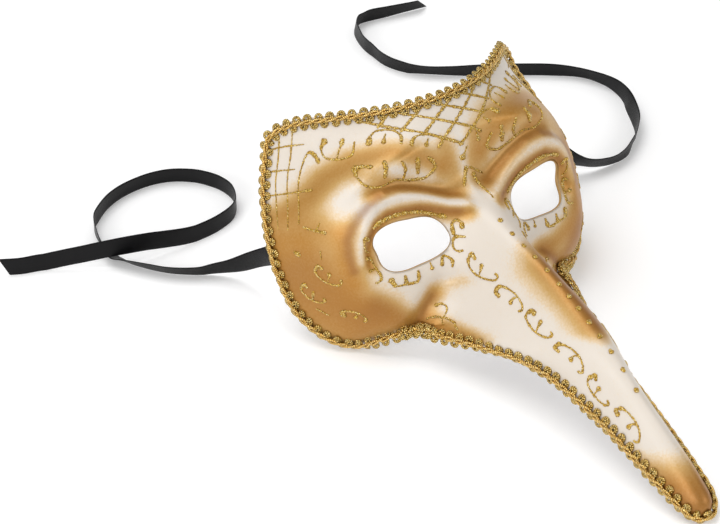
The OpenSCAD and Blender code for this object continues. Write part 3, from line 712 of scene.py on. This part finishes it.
def build_shell():
    """Outer skin, inner skin, and rounded lips round the rim and both eye holes."""
    t, s = shell_grid()
    outer, out = skin(t, s), normal(t, s, 0.006)
    inner = outer - out * WALL
    wide = 2 * NCOL + 1
    count = outer.shape[0] * wide
    number = np.arange(count).reshape(outer.shape[:2])
    i, j = np.meshgrid(np.arange(NROW), np.arange(2 * NCOL), indexing="ij")
    c = np.where(j < NCOL, NCOL - 1 - j, j - NCOL)
    hole = ((i >= ROWS[0]) & (i < ROWS[0] + ROWS[1]) & (c >= COLS[0]) & (c < COLS[0] + COLS[1]))
    a, b = number[:-1, :-1], number[:-1, 1:]
    e, d = number[1:, 1:], number[1:, :-1]
    keep = ~hole
    front = np.stack([a[keep], d[keep], e[keep], b[keep]], 1)
    rear = np.stack([a[keep], b[keep], e[keep], d[keep]], 1) + count
    verts = [outer.reshape(-1, 3), inner.reshape(-1, 3)]
    faces = [front, rear]
    base = 2 * count

    def lip(loop, towards):
        """Closes the wall along a loop of points with a round lip, towards its middle or away."""
        nonlocal base
        o, n = outer.reshape(-1, 3)[loop], out.reshape(-1, 3)[loop]
        ahead = unit(np.roll(o, -1, 0) - np.roll(o, 1, 0))
        away = unit(np.cross(n, ahead))
        if np.sum((o.mean(0) - o) * away) * towards < 0:
            away = -away
        rows = [loop]
        for depth, reach in ((0.12, 0.7), (0.5, 1.0), (0.88, 0.7)):
            verts.append(o - n * WALL * depth + away * LIP * reach)
            rows.append(base + np.arange(len(loop)))
            base += len(loop)
        rows.append(loop + count)
        for r0, r1 in zip(rows[:-1], rows[1:]):
            faces.append(np.stack([r0, np.roll(r0, -1), np.roll(r1, -1), r1], 1))

    lip(np.concatenate([number[0, :-1], number[:-1, -1], number[-1, :0:-1], number[:0:-1, 0]]), -1)
    i0, i1 = ROWS[0], ROWS[0] + ROWS[1]
    for side in (-1, 1):
        j0, j1 = NCOL + side * COLS[0], NCOL + side * (COLS[0] + COLS[1])
        lo, hi = min(j0, j1), max(j0, j1)
        lip(np.concatenate([number[i0, lo:hi], number[i0:i1, hi], number[i1, hi:lo:-1],
                            number[i1:i0:-1, lo]]), 1)
    verts = np.concatenate(verts)
    faces = np.concatenate(faces)
    used = np.zeros(len(verts), bool)
    used[faces.ravel()] = True
    renumber = np.cumsum(used) - 1
    piece = new_mesh("shell_painted", verts[used], renumber[faces], PAINT, "shell", "mask_shell")
    piece.data.materials.append(INSIDE)
    slots = np.zeros(len(faces), dtype=np.int32)
    slots[len(front):len(front) + len(rear)] = 1
    piece.data.polygons.foreach_set("material_index", slots)
    extra = len(verts) - 2 * count
    # gold cover and painted shade for each point: half as much on the inner skin, a set amount on
    # the lips
    for name, values, on_lip in zip(("gold", "deep"), paint_masks(t, s), (0.6, 0.1)):
        flat = np.concatenate([values.ravel(), values.ravel() * 0.5, np.full(extra, on_lip)])
        point_values(piece, name, flat[used])
    return piece


shell = build_shell()

# ---- braid ----------------------------------------------------------------------------------

LOOP_PITCH = 5.6
COIL_R = 1.85
ROW_OFF = 1.75                  # from the braid's middle to each row of buttons
PLY_OFF, PLY_UP, PLY_RISE = 0.75, 1.75, 0.45
YARN_R, YARN_TWIST = 0.5, 0.9
CORD_R = 0.68
STEP = 0.1                      # between two frames along the braid
END = 0.6                       # from an end of the edge to the braid
PRESS_FROM, PRESS_DEPTH = 5, 8  # where a ray towards the shell starts, and how far it reaches


def wall_tree():
    """Search tree over the finished shell, in millimetres."""
    points = np.empty(len(shell.data.vertices) * 3, dtype=np.float32)
    shell.data.vertices.foreach_get("co", points)
    corners = np.empty(len(shell.data.polygons) * 4, dtype=np.int32)
    shell.data.polygons.foreach_get("vertices", corners)
    return BVHTree.FromPolygons((points.reshape(-1, 3) / MM).tolist(),
                                corners.reshape(-1, 4).tolist())


WALLS = wall_tree()


def braid_frames(places, inward):
    """Braid frames at equal steps of length along the edge, pressed down on to the shell."""
    t, s = places.T
    # near the notch the braid leaves the curled-in rim and runs over the fold in front of it
    if inward < 0:
        mouth = smooth(0.43, NOTCH_T, t)
        t, s = np.minimum(t, 0.46 + 0.6 * (t - 0.46)), s * (1 - 0.23 * mouth)
        beside = smooth(0.38, 0.47, t)
    else:
        mouth = 1 - smooth(NOTCH_T, 0.56, t)
        t, s = np.maximum(t, 0.522 + 0.68 * (t - NOTCH_T)), s * (1 - 0.06 * mouth)
        beside = 1 - smooth(0.62, 0.80, t)
    # where the edge curls under, the braid lies on the wall beside it
    p = skin(t, s)
    side, out = frames(p, unit(normal(t, s) * (1 - beside)[:, None]
                               + normal(t, 0.7 * s) * beside[:, None]))
    p = p + side * inward * (BRAID_IN - 2.6 * mouth - 0.5 * beside)[:, None]
    length = run_length(p)
    at = np.arange(END, length[-1] - END, STEP)
    p, side, out = [interpolate(at, length, a) for a in (p, side, out)]
    side, out = unit(side), unit(out)
    lift = np.full(len(at), np.nan)
    for k in range(0, len(at), 8):
        heights = []
        for q in (-0.5, 1.0, 2.5):
            start = p[k] + side[k] * inward * q + out[k] * PRESS_FROM
            hit = WALLS.ray_cast(Vector(start), Vector(-out[k]), PRESS_DEPTH)
            if hit[0] is not None:
                heights.append(PRESS_FROM - hit[3])
        if heights:
            lift[k] = np.clip(np.max(heights), -0.8, 3)
    known = ~np.isnan(lift)
    lift = np.interp(at, at[known], lift[known])
    lift = np.convolve(np.pad(lift, 20, mode="edge"), np.ones(41) / 41, mode="valid")
    return at, p + out * lift[:, None], side, out


def sweep_yarn(line, out, radius, sides):
    """A yarn along a line of points, with texture coordinates for its twist."""
    d = direction(line)
    side = unit(np.cross(d, out))
    upward = np.cross(side, d)
    a = np.linspace(0, 2 * math.pi, sides, endpoint=False)
    verts, faces = tube(line[:, None] + side[:, None] * (radius * np.cos(a))[:, None]
                        + upward[:, None] * (radius * np.sin(a))[:, None])
    u = np.repeat(run_length(line) / YARN_TWIST, sides)
    v = np.tile(np.arange(sides) / sides, len(line))
    return verts, faces, np.stack([u, v], 1)


def build_braid(name, places, inward, node):
    """Scroll gimp: two staggered rows of coiled buttons and two plies laid over their middle."""
    at, p, side, out = braid_frames(places, inward)
    loops = round((at[-1] - at[0]) / LOOP_PITCH)
    pitch = (at[-1] - at[0]) / loops
    parts, kinds = [], []

    def place(along, across, height):
        along = np.clip(along, at[0], at[-1])
        middle, sideways, outward = [interpolate(along, at, a) for a in (p, side, out)]
        return (middle + sideways * across[:, None] + outward * height[:, None], unit(outward))

    # each button is a fine yarn wound in to its middle
    turn = np.linspace(0, 5.3 * math.pi, 52)
    wind = np.interp(turn, [0, 2 * math.pi, turn[-1]], [1.0, 0.93, 0.2])

    def button(centre, offset, raised, size):
        start = 2 * math.pi * rng.random()
        tilt = 0.2 * rng.normal()
        along = centre + size * wind * np.cos(turn + start)
        across = offset + size * wind * np.sin(turn + start)
        height = (raised + 0.45 + 0.85 * turn / turn[-1] + tilt * wind * np.cos(turn)
                  - 0.3 * (np.abs(across) - 1.7) / COIL_R)
        line, o = place(along, across, height)
        parts.append(sweep_yarn(line, o, YARN_R, 7))
        kinds.append(0)

    for way, first in ((1, 0.5), (-1, 1.0)):
        for k in range(loops if way > 0 else loops - 1):
            button(at[0] + pitch * (k + first) + 0.15 * rng.normal(), way * ROW_OFF, 0,
                   COIL_R * (1 + 0.05 * rng.normal()))
    # the ends are bunched one over the other at the notch
    for end in (at[0], at[-1]):
        for k in range(5):
            button(end + (2.2 * k + 1.5) * (1 if end == at[0] else -1), 1.6 * (-1)**k, 1.3, 1.6)
    # two smooth plies laid round each other over the middle, one turn to two coils
    phase = np.arange(0, loops * math.pi, 2 * math.pi / (40))
    for half in (0, 1):
        twist = phase + half * math.pi
        along = at[0] + pitch * phase / math.pi
        line, o = place(along, PLY_OFF * np.sin(twist), PLY_UP + PLY_RISE * np.cos(twist))
        parts.append(sweep_yarn(line, o, CORD_R, 8))
        kinds.append(1)
    piece = new_mesh(name, *join_parts([part[:2] for part in parts]), YARN, "braid", node)
    piece.data.materials.append(CORE)
    slots = [np.full(len(part[1]), k, dtype=np.int32) for part, k in zip(parts, kinds)]
    piece.data.polygons.foreach_set("material_index", np.concatenate(slots))
    point_uv(piece, "yarn", np.concatenate([part[2] for part in parts]))


build_braid("gimp_braid_face", edge_places(NOTCH_T, 0, 259, 241), -1, "face_braid")
build_braid("gimp_braid_nose", edge_places(NOTCH_T, 1, 259, 25), 1, "nose_braid")

# ---- glitter --------------------------------------------------------------------------------

BEAD_STEP, BEAD_LUMP = 0.35, 1.1     # between two rings, and between two lumps


def shifted(centre, a, b):
    """Place [t, s] at distances a along s and b against t, in millimetres, from a place."""
    t, s = np.array([centre[0]], float), np.array([centre[1]], float)
    ds, dt = along_s(t, s)[0], along_t(t, s)[0]
    e, f, g = ds @ ds, ds @ dt, dt @ dt
    x = ds / math.sqrt(e)
    y = np.cross(np.cross(ds, dt), ds)
    y = y / np.linalg.norm(y)
    step = np.multiply.outer(np.asarray(a, float), x) - np.multiply.outer(np.asarray(b, float), y)
    px, py = step @ ds, step @ dt
    q = e * g - f * f
    return np.stack([centre[0] + (e * py - f * px) / q, centre[1] + (g * px - f * py) / q], -1)


def bead(places, widths):
    """A line of glue along places [t, s]. Widths are pairs: share of the length, width in mm."""
    t, s = np.clip(places[:, 0], 0, 1), np.clip(places[:, 1], -1, 1)
    p, n = skin(t, s), normal(t, s)
    length = run_length(p)
    count = max(8, int(length[-1] / BEAD_STEP))
    at = np.linspace(0, length[-1], count)
    p, n = interpolate(at, length, p), unit(interpolate(at, length, n))
    side = unit(np.cross(n, direction(p)))
    knots = rng.normal(0, 1, max(4, int(length[-1] / BEAD_LUMP)))
    lump = np.interp(np.linspace(0, 1, count), np.linspace(0, 1, len(knots)), knots)
    width = np.interp(at / at[-1], [w[0] for w in widths], [w[1] for w in widths]) / 2
    width = width * 1.25 * (1 + 0.2 * lump)
    end = np.minimum(at, at[-1] - at)
    width = width * np.sqrt(np.clip(end / np.maximum(0.6 * width, 0.3), 0.05, 1))
    high = 0.22 + 0.42 * width
    p = p + side * (0.08 * rng.normal(0, 1, count))[:, None]
    a = np.linspace(0, 2 * math.pi, 12, endpoint=False)
    ca, sa = np.cos(a), np.sin(a)
    sa = np.where(sa < 0, sa * 0.4, sa)
    rings = (p[:, None] + side[:, None] * (width[:, None] * ca)[..., None]
             + n[:, None] * (high[:, None] * sa)[..., None])
    rings += rng.normal(0, 0.04, rings.shape)
    return tube(rings)


# How the width runs along a stroke: share of the length, and width in millimetres.
HEAD = [(0, 2.0), (0.16, 1.9), (0.32, 0.9), (0.75, 0.75), (0.9, 1.1), (1, 1.0)]
DROP = [(0, 0.7), (0.45, 0.75), (0.75, 1.8), (0.9, 2.2), (1, 1.8)]
EVEN = [(0, 0.8), (1, 0.8)]
BLOB = [(0, 1.6), (0.5, 2.2), (1, 1.5)]
FAINT = [(0, 0.7), (0.8, 0.6), (1, 0.4)]
THICK = [(0, 2.0), (0.5, 2.3), (1, 1.5)]
LATTICE = [(0, 0.9), (0.5, 1.1), (1, 1.3)]
DOT = [(0, 2.2), (1, 2.2)]

# The two kinds of curl, as a line and its tick: millimetres outward and up the nose.
CURLS = [
    [[[1, 4.5], [2.5, 7.5], [6, 5.5], [5.5, 1.5], [1.8, -3.5], [-4, -6.8], [-8, -6], [-7.5, -4]],
     [[1.8, -3.5], [-0.5, -0.8], [-2.5, 2]]],
    [[[5.8, 2.5], [8, 5], [5.5, 6.8], [0, 4.5], [-5, 0.5], [-7.2, -4], [-6, -7.5], [-3, -7.3]],
     [[-5.2, 0.5], [-2, 0.3], [0.8, -2.3]]]]


def smoothed(places):
    """A fine line of places through the few that a stroke is given by."""
    return curve_points(places, 8)


def curl(t, s, number, size):
    """Line and tick of one curl at a place."""
    line, tick = [shifted((t, s), [p[0] * size for p in q], [p[1] * size for p in q])
                  for q in CURLS[number]]
    return [(line, HEAD), (tick, DROP)]


def group(name, side, curls, strokes):
    """The beads of one named place, on the left (side -1) or the right (side 1)."""
    word = {-1: "left", 1: "right"}[side]
    lines = [pair for values in curls for pair in curl(*values)] + strokes
    parts = [bead(smoothed([(p[0], p[1] * side) for p in places]), widths)
             for places, widths in lines]
    new_mesh(f"glitter_drawn_{name}_{word}", *join_parts(parts), GLITTER, "glitter",
             f"glitter_{name}_{word}")


# Strokes are places [t, s] on one half of the mask, with the widths along each. A curl is
# its place, kind and size.
BROW_STROKES = [
    ([[0.046, 0.717], [0.061, 0.75], [0.082, 0.747], [0.092, 0.71], [0.094, 0.67], [0.089, 0.625],
      [0.063, 0.592]],
     [(0, 2.6), (0.08, 2.4), (0.2, 0.8), (0.7, 0.8), (0.85, 1.2), (1, 0.6)]),
    ([[0.093, 0.70], [0.072, 0.67], [0.052, 0.638]],
     [(0, 0.9), (0.65, 0.7), (0.85, 2.6), (1, 2.2)]),
    ([[0.080, 0.535], [0.062, 0.51], [0.052, 0.475], [0.052, 0.44], [0.054, 0.407], [0.063, 0.37],
      [0.077, 0.355], [0.094, 0.38]], [(0, 2.8), (0.12, 2.2), (0.2, 0.8), (0.7, 0.8), (1, 1.6)]),
    ([[0.062, 0.425], [0.084, 0.465]], DROP),
    ([[0.104, 0.33], [0.094, 0.31], [0.087, 0.275], [0.087, 0.233], [0.092, 0.19], [0.101, 0.145],
      [0.112, 0.12], [0.124, 0.16]], [(0, 2.4), (0.14, 2.0), (0.25, 0.8), (0.75, 0.9), (1, 1.6)]),
    ([[0.098, 0.205], [0.114, 0.24]], DROP),
    ([[0.113, 0.637], [0.128, 0.66], [0.139, 0.658], [0.151, 0.634], [0.159, 0.58], [0.160, 0.52],
      [0.156, 0.45], [0.162, 0.38], [0.168, 0.29], [0.168, 0.24], [0.157, 0.185], [0.143, 0.205],
      [0.134, 0.235]], [(0, 3.6), (0.06, 3.0), (0.12, 1.0), (0.4, 0.8), (0.7, 1.1), (0.85, 1.5),
                        (1, 1.6)]),
    ([[0.117, 0.63], [0.124, 0.575]], [(0, 2.0), (0.6, 1.6), (1, 1.9)]),
    ([[0.117, 0.515], [0.149, 0.52]], THICK),
    ([[0.127, 0.42], [0.144, 0.387], [0.159, 0.395]], [(0, 1.0), (0.5, 1.5), (1, 0.9)]),
    ([[0.128, 0.305], [0.159, 0.298]], THICK)]
CHEEK_CURLS = [(0.278, 0.875, 0, 0.85), (0.297, 0.94, 0, 0.8), (0.357, 0.865, 1, 0.65)]
CHEEK_STROKES = [
    ([[0.19, 0.90], [0.20, 0.87], [0.21, 0.83]], [(0, 0.8), (1, 1.4)]),
    ([[0.203, 0.865], [0.19, 0.84]], FAINT), ([[0.225, 0.945], [0.235, 0.93]], BLOB),
    ([[0.235, 0.87], [0.25, 0.875]], FAINT), ([[0.32, 0.95], [0.34, 0.93]], FAINT),
    ([[0.421, 0.503], [0.418, 0.485], [0.42, 0.463], [0.428, 0.459], [0.436, 0.478], [0.445, 0.51],
      [0.453, 0.55]], [(0, 1.8), (0.2, 1.2), (0.5, 0.8), (1, 0.8)]),
    ([[0.441, 0.62], [0.442, 0.59], [0.452, 0.56], [0.468, 0.56], [0.492, 0.61], [0.52, 0.70],
      [0.545, 0.765]], EVEN), ([[0.453, 0.56], [0.47, 0.61], [0.50, 0.70]], FAINT)]
EYE_STROKES = [
    ([[0.245, 0.66], [0.238, 0.69], [0.249, 0.70], [0.260, 0.69], [0.264, 0.665]],
     [(0, 1.8), (0.3, 1.6), (0.5, 0.8), (1, 0.8)]),
    ([[0.275, 0.70], [0.271, 0.68], [0.276, 0.665], [0.291, 0.66], [0.307, 0.655], [0.314, 0.673],
      [0.315, 0.705]], [(0, 1.6), (0.25, 1.5), (0.4, 0.8), (0.7, 1.4), (1, 0.7)]),
    ([[0.293, 0.665], [0.292, 0.71]], [(0, 0.7), (0.5, 1.5), (1, 1.7)]),
    ([[0.317, 0.62], [0.327, 0.62], [0.337, 0.61], [0.342, 0.554], [0.347, 0.495], [0.34, 0.47],
      [0.325, 0.455]], [(0, 2.6), (0.15, 2.0), (0.3, 0.8), (0.6, 1.1), (0.85, 1.6), (1, 0.9)]),
    ([[0.342, 0.554], [0.323, 0.54]], [(0, 2.2), (0.5, 1.4), (1, 0.9)]),
    ([[0.320, 0.37], [0.338, 0.373]], DROP),
    ([[0.339, 0.317], [0.320, 0.295], [0.322, 0.275], [0.333, 0.262], [0.342, 0.266],
      [0.35, 0.277]], [(0, 2.0), (0.25, 1.1), (0.5, 0.8), (0.8, 1.3), (1, 0.9)]),
    ([[0.283, 0.163], [0.272, 0.155], [0.264, 0.168], [0.266, 0.19], [0.277, 0.20],
      [0.289, 0.205]], [(0, 2.2), (0.3, 1.6), (0.6, 1.3), (1, 1.8)]),
    ([[0.298, 0.165], [0.292, 0.205], [0.302, 0.225], [0.312, 0.23], [0.32, 0.22],
      [0.322, 0.20]], [(0, 0.7), (0.3, 1.6), (0.5, 0.9), (1, 1.1)]),
    ([[0.226, 0.64], [0.219, 0.587], [0.216, 0.514], [0.218, 0.444], [0.224, 0.369],
      [0.233, 0.305], [0.242, 0.26], [0.253, 0.205]], [(0, 2.0), (0.5, 1.5), (1, 2.0)])]
NOSE_CURLS = [(0.374, 0.196, 0, 1), (0.459, 0.244, 1, 1), (0.547, 0.326, 0, 1),
                (0.652, 0.425, 1, 0.95), (0.743, 0.558, 0, 0.85), (0.809, 0.575, 1, 0.95)]
TEMPLE_STROKES = [
    ([[0.02, 0.925], [0.10, 0.95], [0.185, 0.97]], FAINT),
    ([[0.015, 0.86], [0.10, 0.905], [0.19, 0.945]], FAINT),
    ([[0.093, 0.775], [0.075, 0.785], [0.066, 0.81], [0.085, 0.84], [0.13, 0.88],
      [0.185, 0.91]], [(0, 2.0), (0.1, 1.6), (0.25, 0.8), (1, 0.6)]),
    ([[0.04, 0.97], [0.048, 0.82]], FAINT), ([[0.087, 0.98], [0.094, 0.875]], FAINT),
    ([[0.132, 0.985], [0.138, 0.835]], [(0, 0.6), (0.8, 0.8), (0.9, 1.8), (1, 1.0)])]
FOREHEAD_STROKES = [
    ([[0.175, 0.02], [0.21, -0.04]], [(0, 2.0), (1, 1.4)]),
    ([[0.178, 0.035], [0.20, 0.12]], [(0, 1.2), (1, 0.7)]),
    ([[0.19, 0.05], [0.25, 0.06]], [(0, 1.9), (0.4, 1.3), (1, 0.6)]),
    ([[0.14, 0.04], [0.162, -0.01]], [(0, 0.7), (0.5, 1.0), (0.8, 2.8), (1, 2.2)]),
    ([[0.12, 0.12], [0.14, 0.13]], DROP)]
LATTICE_LINES = 5
DOTS = 13

for side in (-1, 1):
    group("brow", side, [], BROW_STROKES)
    group("cheek", side, CHEEK_CURLS, CHEEK_STROKES)
    group("eye", side, [], EYE_STROKES)
    group("nose", side, NOSE_CURLS, [])
    group("temple", side, [], TEMPLE_STROKES)

parts = []
for way in (-1, 1):
    for k in range(LATTICE_LINES):
        a = np.array((0.014, way * (0.56 - 0.23 * k)))
        b = np.array((0.134 - 0.022 * k, way * (-0.015 - 0.11 * k)))
        parts.append(bead(a + (b - a) * np.linspace(0, 1, 30)[:, None], LATTICE))
parts += [bead(smoothed(places), widths) for places, widths in FOREHEAD_STROKES]
new_mesh("glitter_drawn_lattice", *join_parts(parts), GLITTER, "glitter", "glitter_lattice")

parts = []
for k in range(DOTS):
    t = 0.29 + 0.03 * k + 0.0006 * k * k
    parts.append(bead(shifted((t, 0), np.zeros(7), np.linspace(-1.4, 1.4, 7)), DOT))
new_mesh("glitter_drawn_dots", *join_parts(parts), GLITTER, "glitter", "glitter_ridge_dots")

# ---- patches that hold the ribbons ----------------------------------------------------------

# Their CAD shape is right and stays.
for word in ("left", "right"):
    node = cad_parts["ribbon_patch_" + word]
    node.data.materials.clear()
    node.data.materials.append(TAPE)

# ---- floor, light and view ------------------------------------------------------------------

floor_mesh = bpy.data.meshes.new("floor")
floor_mesh.from_pydata([(-6, -6, 0), (6, -6, 0), (6, 6, 0), (-6, 6, 0)], [], [(0, 1, 2, 3)])
floor = bpy.data.objects.new("floor", floor_mesh)
bpy.context.scene.collection.objects.link(floor)
pale = Nodes("pale_floor")
pale.set(Base_Color=(0.94, 0.94, 0.94), Roughness=0.9, Specular_IOR_Level=0.1,
         Emission_Color=(1, 1, 1), Emission_Strength=0.14)
floor_mesh.materials.append(pale.material)


def area_light(name, place, size, power):
    """A soft box that faces the mask."""
    data = bpy.data.lights.new(name, "AREA")
    data.shape = "RECTANGLE"
    data.size, data.size_y = size
    data.energy = power
    lamp = bpy.data.objects.new(name, data)
    lamp.location = place
    lamp.rotation_euler = (Vector((0, 0, 0.05)) - Vector(place)).to_track_quat("-Z", "Y").to_euler()
    bpy.context.scene.collection.objects.link(lamp)


area_light("key", (-1.35, -0.35, 0.62), (0.8, 0.7), 8.5)
area_light("front", (0.52, -1.2, 0.78), (0.9, 0.5), 5)
area_light("top", (-0.3, 0.5, 1.6), (1.4, 1.0), 13)
world = bpy.data.worlds.new("studio")
bpy.context.scene.world = world
world.use_nodes = True
glow = world.node_tree.nodes["Background"]
glow.inputs["Color"].default_value = (1, 1, 1, 1)
glow.inputs["Strength"].default_value = 0.50
bpy.context.scene.view_settings.view_transform = "Standard"
